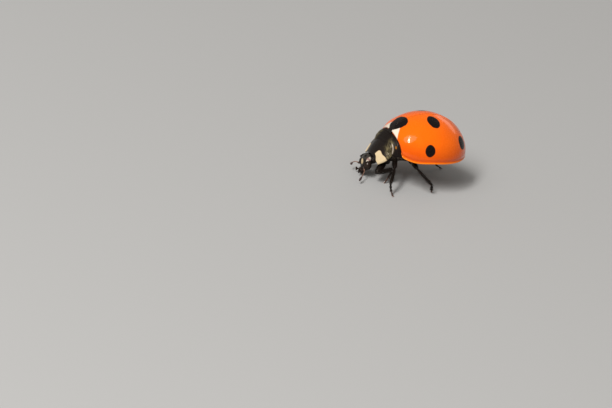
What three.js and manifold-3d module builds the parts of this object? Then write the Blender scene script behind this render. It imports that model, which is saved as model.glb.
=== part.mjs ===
// A seven-spot ladybird, life size: a still model that stands on its six feet,
// with its head bent down. Millimetres, +Z up, head toward -Y, the beetle's left toward +X.
//
// The pieces are shaped in the beetle's own frame: x forward, y to its left, z up, with
// the origin where the wing cases meet the scutellum, in the plane of their lower rim.
// One group turns that frame and sets the origin at the middle of the footprint.

import * as THREE from 'three';
import { mergeVertices } from 'three/addons/utils/BufferGeometryUtils.js';
import Module from 'manifold-3d';

const wasm = await Module();
wasm.setup();

// ---- Driving dimensions -------------------------------------------------------------

const ELYTRA_LENGTH = 5.7;
const ELYTRA_HALF_WIDTH = 2.67;
const ELYTRA_HEIGHT = 2.41;      // from the lower rim to the top
const REAR_REACH = 2.99;         // from the highest point back to the rear tip
const FRONT_REACH = 3.11;        // the same ellipse-like outline, in front of that point
const OUTLINE_POWER = 1.89;
const PROFILE_POWER = 1.9;
const BASE_SWEEP = 0.125;        // how fast the front edge of the wing cases runs back
const SHELL = 0.5;               // wing case thickness
const GAP = 0.03;                // left between neighbouring pieces
const STANCE = 2.2;              // height of the lower rim above the floor

const PRONOTUM_LENGTH = 1.45;    // along its middle
const PRONOTUM_HALF_WIDTH = 1.34;
const PRONOTUM_FRONT_HALF_WIDTH = 0.97;
const PRONOTUM_THICKNESS = 0.42;
const PRONOTUM_TILT = 57;        // degrees that its disc leans down from level
const PRONOTUM_BACK = new THREE.Vector3(0.17, 0, 0.54);

// The head's own shapes are given as if it looked straight ahead. It is then turned about
// the neck, a little to the right and with its right side lower, and brought down.
const HEAD_RADII = new THREE.Vector3(0.34, 0.7, 0.58);
const HEAD_CENTRE = new THREE.Vector3(1.15, 0, -1.16);
const NECK_POINT = new THREE.Vector3(0.75, 0, -1);
const HEAD_YAW = -10;            // degrees, toward its left
const HEAD_ROLL = 8;             // degrees, left side up
const HEAD_SHIFT = new THREE.Vector3(-0.05, 0, -0.15);
const EYE_RADIUS = 0.25;
const FEELER_RADIUS = 0.23;
const PALP_RADIUS = 0.22;

const FEMUR_RADIUS = 0.25;
const TIBIA_RADIUS = 0.24;
const TARSUS_RADIUS = 0.23;
const COXA_RADIUS = 0.34;

// ---- Finishes -----------------------------------------------------------------------

const finish = (color, roughness) => new THREE.MeshStandardMaterial({ color, roughness, metalness: 0 });
const ORANGE_SHELL = finish(0xe8590a, 0.2);
const BLACK_SHELL = finish(0x14120f, 0.25);
const BLACK_BODY = finish(0x1a1714, 0.45);
const EYE_BLACK = finish(0x0b0b0c, 0.15);
const BROWN_FEELER = finish(0x6b4a32, 0.5);

// ---- Solids: making, joining and cutting --------------------------------------------

const at = (x, y, z) => new THREE.Vector3(x, y, z);
const UP = at(0, 0, 1);

function solidFrom(geometry) {
  const shape = geometry.clone();
  shape.deleteAttribute('normal');
  shape.deleteAttribute('uv');
  const merged = mergeVertices(shape, 1e-5);
  return new wasm.Manifold(new wasm.Mesh({
    numProp: 3,
    vertProperties: new Float32Array(merged.attributes.position.array),
    triVerts: new Uint32Array(merged.index.array),
  }));
}

// A closed body through a row of rings with equal counts of points, both ends capped.
function ringSolid(rings) {
  const sides = rings[0].length;
  const points = rings.flat();
  const capMiddle = (ring) => ring.reduce((sum, p) => sum.add(p), at(0, 0, 0)).divideScalar(sides);
  const first = points.push(capMiddle(rings[0])) - 1;
  const last = points.push(capMiddle(rings.at(-1))) - 1;
  const faces = [];
  for (let side = 0; side < sides; side++) {
    const next = (side + 1) % sides;
    faces.push(first, next, side);
    for (let row = 0; row < rings.length - 1; row++) {
      const a = row * sides + side;
      const b = row * sides + next;
      faces.push(a, b, b + sides, a, b + sides, a + sides);
    }
    const end = (rings.length - 1) * sides;
    faces.push(last, end + side, end + next);
  }
  const geometry = new THREE.BufferGeometry().setFromPoints(points);
  geometry.setIndex(signedVolume(points, faces) > 0 ? faces : faces.reverse());
  return solidFrom(geometry);
}

function signedVolume(points, faces) {
  let sum = 0;
  for (let i = 0; i < faces.length; i += 3) {
    const [a, b, c] = [points[faces[i]], points[faces[i + 1]], points[faces[i + 2]]];
    sum += a.dot(b.clone().cross(c));
  }
  return sum;
}

function ellipsoid(centre, radii, turn = new THREE.Quaternion(), around = 12, down = 8) {
  const geometry = new THREE.SphereGeometry(1, around, down);
  geometry.applyMatrix4(new THREE.Matrix4().compose(centre, turn, radii));
  return solidFrom(geometry);
}

function box(low, high) {
  const size = high.clone().sub(low);
  const geometry = new THREE.BoxGeometry(size.x, size.y, size.z);
  geometry.translate(low.x + size.x / 2, low.y + size.y / 2, low.z + size.z / 2);
  return solidFrom(geometry);
}

// A flat outline in x and y, raised from one height to another.
function slab(outline, low, high) {
  const geometry = new THREE.ExtrudeGeometry(new THREE.Shape(outline), {
    depth: high - low, bevelEnabled: false,
  });
  geometry.translate(0, 0, low);
  return solidFrom(geometry);
}

// A cut can leave a sliver behind: only the largest of the bodies is the piece.
function mainBody(solid) {
  return solid.decompose().reduce((best, next) => (next.volume() > best.volume() ? next : best));
}

// A round bar along a curve. Its radius swells by a profile and its ends are rounded.
function bar(curve, radius, { swell = () => 1, steps = 5, sides = 8, grow = 0 } = {}) {
  const rings = [];
  for (let step = 0; step <= steps; step++) {
    const t = 0.5 - 0.5 * Math.cos((Math.PI * (step + 0.35)) / (steps + 0.7));
    const tangent = curve.getTangent(t);
    const across = tangent.clone().cross(Math.abs(tangent.z) > 0.95 ? at(1, 0, 0) : UP).normalize();
    const lift = across.clone().cross(tangent).normalize();
    const rounding = Math.sqrt(1 - Math.abs(2 * t - 1) ** 5);
    const r = radius * swell(t) * rounding + grow;
    const centre = curve.getPoint(t).addScaledVector(tangent, grow * Math.sign(t - 0.5));
    rings.push(Array.from({ length: sides }, (_, side) => {
      const angle = (2 * Math.PI * side) / sides;
      return centre.clone()
        .addScaledVector(across, r * Math.cos(angle))
        .addScaledVector(lift, r * Math.sin(angle));
    }));
  }
  return ringSolid(rings);
}

// ---- Wing cases, scutellum and hind body --------------------------------------------

// The dome that both wing cases share, made smaller all round by an inset, and taken
// down below the rim by a skirt or, for the belly, by a shallow bowl.
function dome(inset, { skirt = 0, belly = 0, around = 44, down = 9 } = {}) {
  const top = -(ELYTRA_LENGTH - REAR_REACH);
  const width = ELYTRA_HALF_WIDTH - inset;
  const height = ELYTRA_HEIGHT - inset;
  const ring = (spread, z) => Array.from({ length: around }, (_, i) => {
    const angle = (2 * Math.PI * i) / around;
    const [c, s] = [Math.cos(angle), Math.sin(angle)];
    const reach = (c > 0 ? FRONT_REACH : REAR_REACH) - inset;
    const scale = (Math.abs(c) ** OUTLINE_POWER + Math.abs(s) ** OUTLINE_POWER) ** (-1 / OUTLINE_POWER);
    return at(top + reach * c * scale * spread, width * s * scale * spread, z);
  });
  const rings = [];
  for (let row = 0; row <= down; row++) {
    const phi = (Math.PI / 2) * ((row + 0.5) / (down + 0.5));
    const spread = Math.sin(phi) ** (2 / OUTLINE_POWER);
    rings.push(ring(spread, height * Math.cos(phi) ** (2 / PROFILE_POWER)));
  }
  if (skirt > 0) rings.push(ring(1, -skirt));
  for (let row = 1; belly > 0 && row <= 4; row++) {
    const phi = (Math.PI / 2) * (row / 4.5);
    rings.push(ring(Math.cos(phi) ** 0.6, -belly * Math.sin(phi)));
  }
  return ringSolid(rings);
}

// Everything in front of the swept front edge of the wing cases.
function aheadOfWingCases(shift) {
  const reach = 4;
  const edge = [];
  for (let i = 0; i <= 16; i++) {
    const y = -reach + (2 * reach * i) / 16;
    edge.push(new THREE.Vector2(shift - BASE_SWEEP * y * y, y));
  }
  edge.push(new THREE.Vector2(reach, reach), new THREE.Vector2(reach, -reach));
  return slab(edge, -reach, reach);
}

const SCUTELLUM_HALF_WIDTH = 0.24;
const SCUTELLUM_LENGTH = 0.36;
function scutellumPrism(grow) {
  const outline = [
    new THREE.Vector2(0.05 + grow, SCUTELLUM_HALF_WIDTH + grow),
    new THREE.Vector2(0.05 + grow, -SCUTELLUM_HALF_WIDTH - grow),
    new THREE.Vector2(-SCUTELLUM_LENGTH - 1.6 * grow, 0),
  ];
  return slab(outline, 0.1, 2);
}

const outerDome = dome(0);
const wingShell = outerDome.subtract(dome(SHELL, { skirt: 1, around: 36, down: 7 }));
const wingCases = wingShell.subtract(aheadOfWingCases(0)).subtract(scutellumPrism(GAP));
const leftHalf = box(at(-8, GAP / 2, -3), at(3, 5, 4));
const rightHalf = box(at(-8, -5, -3), at(3, -GAP / 2, 4));

const scutellum = wingShell.intersect(scutellumPrism(0));

// The neck end of the thorax shows between the wing cases and the bent-down pronotum.
const NECK_CENTRE = at(-0.2, 0, 0.02);
const NECK_RADII = at(0.66, 1.4, 0.86);
const THORAX_END = -2.02;
const BELLY_DEPTH = 0.56;
const hindBody = dome(SHELL + GAP, { belly: BELLY_DEPTH, around: 24, down: 5 });
const underWingCases = hindBody.subtract(aheadOfWingCases(-GAP));
const wingCaseRoom = dome(-GAP, { skirt: GAP, around: 24, down: 5 })
  .subtract(aheadOfWingCases(GAP))
  .subtract(dome(SHELL + GAP, { skirt: 1, around: 24, down: 5 }));
const neck = ellipsoid(NECK_CENTRE, NECK_RADII, undefined, 14, 8).subtract(wingCaseRoom);
const wholeTrunk = underWingCases.add(neck).subtract(scutellumPrism(GAP));

// ---- Prothorax ----------------------------------------------------------------------

// The pronotum's own directions: s runs from its hind edge to the head, h outward.
const tilt = THREE.MathUtils.degToRad(PRONOTUM_TILT);
const alongPronotum = at(Math.cos(tilt), 0, -Math.sin(tilt));
const outOfPronotum = at(Math.sin(tilt), 0, Math.cos(tilt));
const onPronotum = (s, y, h) => PRONOTUM_BACK.clone()
  .addScaledVector(alongPronotum, s)
  .addScaledVector(outOfPronotum, h)
  .setY(y);

// Height of the disc: it arches a little lengthwise and falls away to each side.
function pronotumHeight(s, y) {
  const arch = 0.13 * (1 - ((s - 0.75) / 0.85) ** 2);
  const fall = 0.5 * (Math.abs(y) / PRONOTUM_HALF_WIDTH) ** 1.95;
  return arch - fall;
}

// A point of the outline plan: across from -1 to 1, ahead from 0 at the hind edge to 1.
function pronotumPlan(across, ahead, grow) {
  const side = Math.abs(across);
  const hind = 0.59 * side ** 2.2 - grow;
  const front = PRONOTUM_LENGTH + 0.2 * side ** 2 + grow;
  const bulge = 0.12 * Math.sin(Math.PI * ahead);
  const halfWidth = THREE.MathUtils.lerp(PRONOTUM_HALF_WIDTH, PRONOTUM_FRONT_HALF_WIDTH, ahead) + bulge;
  return { s: THREE.MathUtils.lerp(hind, front, ahead), y: across * (halfWidth + grow) };
}

// Rings run round each lengthwise strip: over the top, then back under it.
function pronotumSolid(grow = 0) {
  const rings = [];
  const strips = 14;
  const rows = 6;
  for (let i = 0; i <= strips; i++) {
    const across = Math.sin(((Math.PI / 2) * (2 * i - strips)) / strips);
    const over = [];
    const under = [];
    for (let row = 0; row <= rows; row++) {
      const edge = Math.sqrt(1 - Math.max(Math.abs(across), Math.abs((2 * row) / rows - 1)) ** 6);
      const { s, y } = pronotumPlan(across, row / rows, grow);
      const h = pronotumHeight(s, y);
      const half = PRONOTUM_THICKNESS / 2;
      over.push(onPronotum(s, y, h - half + half * (0.3 + 0.7 * edge) + grow));
      under.unshift(onPronotum(s, y, h - half - half * (0.3 + 0.7 * edge) - grow));
    }
    rings.push([...over, ...under]);
  }
  return ringSolid(rings);
}

const prothoraxTurn = new THREE.Quaternion().setFromAxisAngle(at(0, 1, 0), tilt);
const prothoraxRing = ellipsoid(onPronotum(0.84, 0, -0.7), at(0.8, 1.1, 0.7), prothoraxTurn, 10, 7);
const headStalk = ellipsoid(at(0.62, -0.02, -0.98), at(0.46, 0.42, 0.3), prothoraxTurn, 8, 5);
const prothoraxBlock = prothoraxRing.add(headStalk);

// ---- Head ---------------------------------------------------------------------------

const EYE_CENTRE = at(1.19, 0.59, -1.25);
const MOUTH = at(1.3, 0, -1.72);
const mirror = (point, side) => at(point.x, point.y * side, point.z);
const headTurn = new THREE.Quaternion()
  .setFromAxisAngle(UP, THREE.MathUtils.degToRad(HEAD_YAW))
  .multiply(new THREE.Quaternion().setFromAxisAngle(at(1, 0, 0), THREE.MathUtils.degToRad(HEAD_ROLL)));
const onHead = (point) => point.clone()
  .sub(NECK_POINT)
  .applyQuaternion(headTurn)
  .add(NECK_POINT)
  .add(HEAD_SHIFT);

function headSolid(grow = 0) {
  return ellipsoid(onHead(HEAD_CENTRE), HEAD_RADII.clone().addScalar(grow), headTurn, 14, 9);
}
const eyeSolid = (side, grow = 0) => ellipsoid(
  onHead(mirror(EYE_CENTRE, side)),
  at(EYE_RADIUS + grow, 0.8 * EYE_RADIUS + grow, 1.2 * EYE_RADIUS + grow),
  headTurn,
  10,
  7,
);
function mouthSolid(grow = 0) {
  return ellipsoid(onHead(MOUTH), at(0.24 + grow, 0.38 + grow, 0.27 + grow), headTurn, 10, 6);
}

// The feelers droop to just above the floor: the left reaches out, the right curls in.
const FEELER_BASE = at(1.42, 0.42, -1.4);
const FEELER_PATHS = {
  left: [onHead(FEELER_BASE), at(1.56, 0.83, -1.62), at(1.87, 1.25, -1.79), at(2.2, 1.64, -1.93)],
  right: [
    onHead(mirror(FEELER_BASE, -1)), at(1.43, -0.79, -1.64), at(1.62, -0.82, -1.7), at(1.88, -0.56, -1.73),
  ],
};
const feelerSolid = (name, grow = 0) => bar(new THREE.CatmullRomCurve3(FEELER_PATHS[name]), FEELER_RADIUS, {
  swell: (t) => 0.8 + 0.25 * THREE.MathUtils.smoothstep(t, 0.55, 0.9), grow,
});

const PALP_PATH = [at(1.38, 0.2, -1.72), at(1.5, 0.27, -1.74), at(1.62, 0.31, -1.76)];
function palpSolid(side, grow = 0) {
  const curve = new THREE.CatmullRomCurve3(PALP_PATH.map((p) => onHead(mirror(p, side))));
  return bar(curve, PALP_RADIUS, { steps: 5, grow });
}

// ---- Legs ---------------------------------------------------------------------------

// Where each joint of each leg lies: hip, knee, ankle and foot tip.
const FLOOR = -STANCE;
const FOOT_REST = FLOOR + 0.05;  // height of a foot's middle line where it meets the floor
const LEGS = {
  front_left: [
    at(-0.06, 0.46, -0.86), at(0.86, 1.19, -1.51),
    at(-0.27, 1.2, -1.19), at(0.09, 1.26, FOOT_REST),
  ],
  middle_left: [
    at(-0.5, 0.66, -0.66), at(0.13, 2.1, -0.7),
    at(0.68, 3.04, -1.47), at(0.52, 3.4, FOOT_REST),
  ],
  hind_left: [
    at(-1.72, 0.72, -0.66), at(-1.43, 2.28, -0.61),
    at(-2.63, 2.65, -1.57), at(-2.86, 2.38, FOOT_REST),
  ],
  front_right: [
    at(-0.06, -0.46, -0.86), at(0.84, -1.3, -1.44),
    at(-0.16, -1.46, -1.3), at(0.3, -1.8, FOOT_REST),
  ],
  middle_right: [
    at(-0.5, -0.66, -0.66), at(-1.1, -2.1, -0.62),
    at(-1.1, -2.86, -1.58), at(-1.5, -3.1, FOOT_REST),
  ],
  hind_right: [
    at(-1.72, -0.72, -0.66), at(-3.3, -1.45, -0.75),
    at(-4.72, -1.65, -1.62), at(-5.5, -1.7, FOOT_REST),
  ],
};

// A leg's pieces run a little past their joints, where the next one is cut to meet them.
const JOINT_OVERRUN = 0.1;
function straight(from, to, overrun = JOINT_OVERRUN) {
  const direction = to.clone().sub(from).normalize();
  return new THREE.LineCurve3(
    from.clone().addScaledVector(direction, -JOINT_OVERRUN),
    to.clone().addScaledVector(direction, overrun),
  );
}
const femurSwell = (t) => 0.72 + 0.28 * Math.sin(Math.PI * t);
const tibiaSwell = (t) => 0.9 + 0.1 * t;

// Hip bulb, thigh, shin and foot, each cut clear of the one before it.
function legSolids([hip, knee, ankle, tip]) {
  const coxaRadii = at(0.7, 1, 1).multiplyScalar(COXA_RADIUS);
  const coxa = (grow) => ellipsoid(hip, coxaRadii.clone().addScalar(grow), undefined, 9, 6);
  const femur = (grow) => bar(straight(hip, knee), FEMUR_RADIUS, { swell: femurSwell, grow });
  const tibia = (grow) => bar(straight(knee, ankle), TIBIA_RADIUS, { swell: tibiaSwell, grow });
  const tarsus = bar(straight(ankle, tip), TARSUS_RADIUS);
  const belowFloor = box(at(-9, -9, FLOOR - 2), at(9, 9, FLOOR));
  return {
    coxa: coxa(0),
    room: coxa(GAP).add(femur(GAP)),
    femur: femur(0).subtract(coxa(GAP)),
    tibia: tibia(0).subtract(femur(GAP)).subtract(coxa(GAP)),
    tarsus: tarsus.subtract(tibia(GAP)).subtract(femur(GAP)).subtract(belowFloor),
  };
}

// ---- The scene graph ----------------------------------------------------------------

const beetle = new THREE.Group();

function addPart(name, solid, material) {
  const { vertProperties, triVerts } = mainBody(solid).getMesh();
  const geometry = new THREE.BufferGeometry();
  geometry.setAttribute('position', new THREE.BufferAttribute(vertProperties, 3));
  geometry.setIndex(new THREE.BufferAttribute(triVerts, 1));
  geometry.computeVertexNormals();
  const mesh = new THREE.Mesh(geometry, material);
  mesh.name = name;
  beetle.add(mesh);
}

const legs = Object.fromEntries(Object.entries(LEGS).map(([name, joints]) => [name, legSolids(joints)]));
let trunk = wholeTrunk.subtract(pronotumSolid(GAP));
let prothorax = prothoraxBlock.subtract(pronotumSolid(GAP)).subtract(headSolid(GAP)).subtract(wholeTrunk);
for (const { room } of Object.values(legs)) {
  trunk = trunk.subtract(room);
  prothorax = prothorax.subtract(room);
}

addPart('elytron_left', wingCases.intersect(leftHalf), ORANGE_SHELL);
addPart('elytron_right', wingCases.intersect(rightHalf), ORANGE_SHELL);
addPart('scutellum', scutellum, BLACK_SHELL);
addPart('pronotum', pronotumSolid().subtract(headSolid(GAP)), BLACK_SHELL);
addPart('prothorax', prothorax, BLACK_BODY);
addPart('thorax', trunk.subtract(box(at(-9, -9, -9), at(THORAX_END, 9, 9))), BLACK_BODY);
addPart('abdomen', trunk.subtract(box(at(THORAX_END - GAP, -9, -9), at(9, 9, 9))), BLACK_BODY);

let head = headSolid().subtract(mouthSolid(GAP));
for (const [name, side] of [['left', 1], ['right', -1]]) {
  head = head.subtract(eyeSolid(side, GAP)).subtract(feelerSolid(name, GAP)).subtract(palpSolid(side, GAP));
  addPart(`eye_${name}`, eyeSolid(side), EYE_BLACK);
  addPart(`antenna_${name}`, feelerSolid(name).subtract(eyeSolid(side, GAP)), BROWN_FEELER);
  addPart(`palp_${name}`, palpSolid(side).subtract(feelerSolid(name, GAP)), BLACK_BODY);
}
addPart('head', head, BLACK_SHELL);
addPart('mouthparts', mouthSolid().subtract(palpSolid(1, GAP)).subtract(palpSolid(-1, GAP)), BLACK_BODY);

for (const [name, leg] of Object.entries(legs)) {
  for (const segment of ['coxa', 'femur', 'tibia', 'tarsus']) {
    addPart(`${segment}_${name}`, leg[segment], BLACK_BODY);
  }
}

// Head toward -Y, feet on the floor, origin at the middle of the footprint.
beetle.rotation.z = -Math.PI / 2;
const placed = new THREE.Box3().setFromObject(beetle);
beetle.position.set(-(placed.min.x + placed.max.x) / 2, -(placed.min.y + placed.max.y) / 2, -placed.min.z);

const group = new THREE.Group();
group.add(beetle);
export default group;
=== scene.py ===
"""A seven-spot ladybird that stands with its head bent down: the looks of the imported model.

Shapes are worked out in the beetle's own frame, in millimetres: x forward, y to its left,
z up, from the point where the wing cases meet the scutellum, level with their lower rim.
place() turns that into the row frame, in metres.
"""

import math
from functools import cached_property

import bmesh
import bpy
import numpy as np
from mathutils import Matrix, Quaternion, Vector

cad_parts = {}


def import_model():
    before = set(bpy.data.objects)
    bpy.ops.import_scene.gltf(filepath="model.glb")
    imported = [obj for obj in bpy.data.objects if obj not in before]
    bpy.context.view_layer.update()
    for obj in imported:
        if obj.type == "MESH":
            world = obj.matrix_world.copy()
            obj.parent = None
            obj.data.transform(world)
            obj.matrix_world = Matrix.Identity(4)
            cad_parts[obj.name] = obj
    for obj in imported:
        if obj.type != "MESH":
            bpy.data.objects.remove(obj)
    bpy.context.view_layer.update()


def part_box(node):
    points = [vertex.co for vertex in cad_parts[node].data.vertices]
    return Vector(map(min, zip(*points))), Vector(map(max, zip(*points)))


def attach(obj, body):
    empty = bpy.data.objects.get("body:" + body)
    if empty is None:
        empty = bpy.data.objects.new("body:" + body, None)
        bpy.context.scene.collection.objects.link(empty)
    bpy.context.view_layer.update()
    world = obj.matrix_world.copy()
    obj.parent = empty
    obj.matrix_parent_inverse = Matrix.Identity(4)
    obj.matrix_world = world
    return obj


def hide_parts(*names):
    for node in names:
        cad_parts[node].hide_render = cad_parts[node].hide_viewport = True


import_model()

# ---- Driving dimensions, as in the solids ----

MM = 0.001
ELYTRA_LENGTH = 5.7
ELYTRA_HALF_WIDTH = 2.67
ELYTRA_HEIGHT = 2.41
REAR_REACH = 2.99
FRONT_REACH = 3.11
TOP_X = REAR_REACH - ELYTRA_LENGTH
OUTLINE_POWER = 1.89
PROFILE_POWER = 1.9
BASE_SWEEP = 0.125
FLOOR = -2.2

PRONOTUM_LENGTH = 1.45
PRONOTUM_HALF_WIDTH = 1.34
PRONOTUM_FRONT_HALF_WIDTH = 0.97
PRONOTUM_TILT = math.radians(57)
PRONOTUM_BACK = np.array([0.17, 0.0, 0.54])

# The head's own shapes are given as if it looked straight ahead; on_head() turns them.
HEAD_CENTRE = np.array([1.15, 0.0, -1.16])
HEAD_RADII = np.array([0.34, 0.7, 0.58]) * [0.93, 0.95, 1]      # inside the solid head's
NECK_POINT = np.array([0.75, 0.0, -1.0])
HEAD_YAW = math.radians(-10)
HEAD_ROLL = math.radians(8)
HEAD_SHIFT = np.array([-0.05, 0.0, -0.15])
EYE_CENTRE = np.array([1.19, 0.59, -1.25])
EYE_RADII = np.array([0.25, 0.2, 0.3])
VERTEX_DIMPLE = np.array([1.34, 0.16, -0.725])
FEELER_SOCKET = np.array([1.42, 0.4, -1.38])

LEFT, RIGHT = 1, -1
SIDES = {"left": LEFT, "right": RIGHT}
SIDEWAYS = np.array([0.0, 1.0, 0.0])
UP = np.array([0.0, 0.0, 1.0])

# The hips of the left legs, then the knee, ankle and foot tip of every leg.
FOOT_REST = FLOOR + 0.05
HIPS = {"front": (-0.06, 0.46, -0.86), "middle": (-0.5, 0.66, -0.66), "hind": (-1.72, 0.72, -0.66)}
LEGS = {
    "front_left": [(0.86, 1.19, -1.51), (-0.27, 1.2, -1.19), (0.09, 1.26, FOOT_REST)],
    "middle_left": [(0.13, 2.1, -0.7), (0.68, 3.04, -1.47), (0.52, 3.4, FOOT_REST)],
    "hind_left": [(-1.43, 2.28, -0.61), (-2.63, 2.65, -1.57), (-2.86, 2.38, FOOT_REST)],
    "front_right": [(0.84, -1.3, -1.44), (-0.16, -1.46, -1.3), (0.3, -1.8, FOOT_REST)],
    "middle_right": [(-1.1, -2.1, -0.62), (-1.1, -2.86, -1.58), (-1.5, -3.1, FOOT_REST)],
    "hind_right": [(-3.3, -1.45, -0.75), (-4.72, -1.65, -1.62), (-5.5, -1.7, FOOT_REST)],
}

left_low, left_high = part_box("elytron_left")
right_low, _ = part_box("elytron_right")
ORIGIN = np.array([
    (left_high[0] + right_low[0]) / 2,
    left_high[1] - ELYTRA_LENGTH * MM,
    left_low[2],
])


def turn(vectors):
    """Directions of the beetle's frame, in the row frame."""
    v = np.asarray(vectors, float)
    return np.stack([v[..., 1], -v[..., 0], v[..., 2]], axis=-1)


def place(points):
    """Points of the beetle's frame, in the row frame, in metres."""
    return turn(points) * MM + ORIGIN


HEAD_TURN = np.array(Matrix.Rotation(HEAD_YAW, 3, "Z") @ Matrix.Rotation(HEAD_ROLL, 3, "X"))


def on_head(points):
    """Points of a head that looks straight ahead, moved to where the turned head has them."""
    return (np.asarray(points, float) - NECK_POINT) @ HEAD_TURN.T + NECK_POINT + HEAD_SHIFT


# ---- Small sums ----


def unit(v):
    v = np.asarray(v, float)
    return v / np.maximum(np.linalg.norm(v, axis=-1, keepdims=True), 1e-12)


def lerp(a, b, t):
    return a + (b - a) * t


def smooth(x, low, high):
    t = np.clip((np.asarray(x, float) - low) / (high - low), 0, 1)
    return t * t * (3 - 2 * t)


def bell(x, middle, spread):
    return np.exp(-(((np.asarray(x, float) - middle) / spread) ** 2))


def turns(count):
    """Evenly spaced angles once round."""
    return np.linspace(0, 2 * math.pi, count, endpoint=False)


def power(x, exponent):
    """A power that keeps the sign."""
    return np.sign(x) * np.abs(x) ** exponent


def quarter_round(distance, radius):
    """The height of a rounded edge: 0 at its end, `radius` from there inward."""
    return np.sqrt(np.maximum(radius**2 - np.maximum(radius - distance, 0) ** 2, 0))


def sample(points, places, wanted):
    """Points between the given ones, which lie at `places` along a path."""
    return np.stack([np.interp(wanted, places, points[:, k]) for k in range(3)], axis=1)


def curve_through(points, count):
    """Evenly spaced points on a Catmull-Rom curve through the given ones."""
    p = np.asarray(points, float)
    p = np.vstack([2 * p[0] - p[1], p, 2 * p[-1] - p[-2]])
    fine = []
    for k in range(1, len(p) - 2):
        t = np.linspace(0, 1, 40, endpoint=False)[:, None]
        a, b, c, d = p[k - 1], p[k], p[k + 1], p[k + 2]
        fine.append(0.5 * (2 * b + (c - a) * t + (2 * a - 5 * b + 4 * c - d) * t**2
                           + (3 * b - a - 3 * c + d) * t**3))
    fine = np.vstack([*fine, p[-2:-1]])
    run = np.r_[0, np.cumsum(np.linalg.norm(np.diff(fine, axis=0), axis=1))]
    return sample(fine, run, np.linspace(0, run[-1], count))


def frames_along(path, flat):
    """Tangent, across and lift at each point of a path: across stays near `flat`."""
    tangent = unit(np.gradient(path, axis=0))
    across = unit(flat - np.sum(tangent * flat, axis=1, keepdims=True) * tangent)
    return tangent, across, np.cross(across, tangent)


# ---- Making meshes ----


def sheet_faces(rows, columns, around, caps):
    """The faces of a sheet of rows of points, whose caps meet in two points after them."""
    index = np.arange(rows * columns).reshape(rows, columns)
    if around:
        index = np.hstack([index, index[:, :1]])
    quads = np.stack([index[:-1, :-1], index[:-1, 1:], index[1:, 1:], index[1:, :-1]], axis=-1)
    faces = quads.reshape(-1, 4).tolist()
    if caps:
        first, last = index[0].tolist(), index[-1].tolist()
        end = rows * columns
        faces += [[end, b, a] for a, b in zip(first, first[1:])]
        faces += [[end + 1, a, b] for a, b in zip(last, last[1:])]
    return faces


class Shape:
    """Surfaces gathered into one mesh, in the beetle's frame."""

    def __init__(self):
        self.points = []
        self.faces = []
        self.uvs = []
        self.marks = []
        self.count = 0

    def add(self, points, faces):
        points = np.asarray(points, float).reshape(-1, 3)
        self.faces += [[i + self.count for i in face] for face in faces]
        self.points.append(points)
        self.count += len(points)
        return self

    def move(self, way):
        self.points = [way(points) for points in self.points]
        return self

    def mark(self, value):
        """Gives this value to all points added since the last mark."""
        self.marks += [value] * (self.count - len(self.marks))
        return self.marks

    def grid(self, points, around=False, caps=False):
        """A sheet of rows of points. `around` closes each row on itself, `caps` the two end rows."""
        flat = points.reshape(-1, 3)
        if caps:
            flat = np.vstack([flat, points[0].mean(axis=0), points[-1].mean(axis=0)])
        return self.add(flat, sheet_faces(*points.shape[:2], around, caps))

    def tube(self, path, wide, high, flat, sides):
        """A closed bar round a path: half width, half height and flat direction at each point."""
        _, across, lift = frames_along(path, flat)
        angle = turns(sides)[None, :, None]
        ring = across[:, None] * np.cos(angle) * np.reshape(wide, (-1, 1, 1))
        ring = ring + lift[:, None] * np.sin(angle) * np.reshape(high, (-1, 1, 1))
        return self.grid(path[:, None] + ring, around=True, caps=True)

    def ball(self, centre, axes, around, down, push=None):
        """An ellipsoid: its three axes are the rows of `axes`, as long as its radii.

        `push` gives, for points on it, how far to move them out along the surface's normal.
        """
        phi = np.linspace(0, math.pi, down + 1)[1:-1, None]
        theta = turns(around)[None, :]
        rings = np.stack([np.sin(phi) * np.cos(theta), np.sin(phi) * np.sin(theta),
                          np.cos(phi) + 0 * theta], axis=-1)
        ball = np.vstack([rings.reshape(-1, 3), UP, -UP])
        axes = np.asarray(axes, float)
        points = np.asarray(centre) + ball @ axes
        if push is not None:
            points = points + unit(ball @ np.linalg.inv(axes).T) * push(points)[:, None]
        return self.add(points, sheet_faces(down - 1, around, around=True, caps=True))


def show(name, data):
    """An object in the scene that carries this mesh, lamp or camera."""
    made = bpy.data.objects.new(name, data)
    bpy.context.scene.collection.objects.link(made)
    return made


def build(name, shape, finish, slot, nodes=(), weld=0.0, **attributes):
    """Makes the object, lets it ride on the body and stand for the named nodes."""
    mesh = bpy.data.meshes.new(name)
    mesh.from_pydata(place(np.vstack(shape.points)).tolist(), [], shape.faces)
    for title, values in attributes.items():
        mesh.attributes.new(title, "FLOAT", "POINT").data.foreach_set("value", values)
    if shape.uvs:
        layer = mesh.uv_layers.new(name="OFBake")
        layer.data.foreach_set("uv", np.ravel(np.vstack(shape.uvs)))
    body = bmesh.new()
    body.from_mesh(mesh)
    if weld:
        bmesh.ops.remove_doubles(body, verts=body.verts, dist=weld * MM)
    bmesh.ops.recalc_face_normals(body, faces=body.faces)
    body.to_mesh(mesh)
    body.free()
    mesh.polygons.foreach_set("use_smooth", [True] * len(mesh.polygons))
    mesh.materials.append(finish.material)
    piece = show(name, mesh)
    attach(piece, "root")
    if nodes:
        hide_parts(*nodes)


# ---- Materials ----

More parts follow.
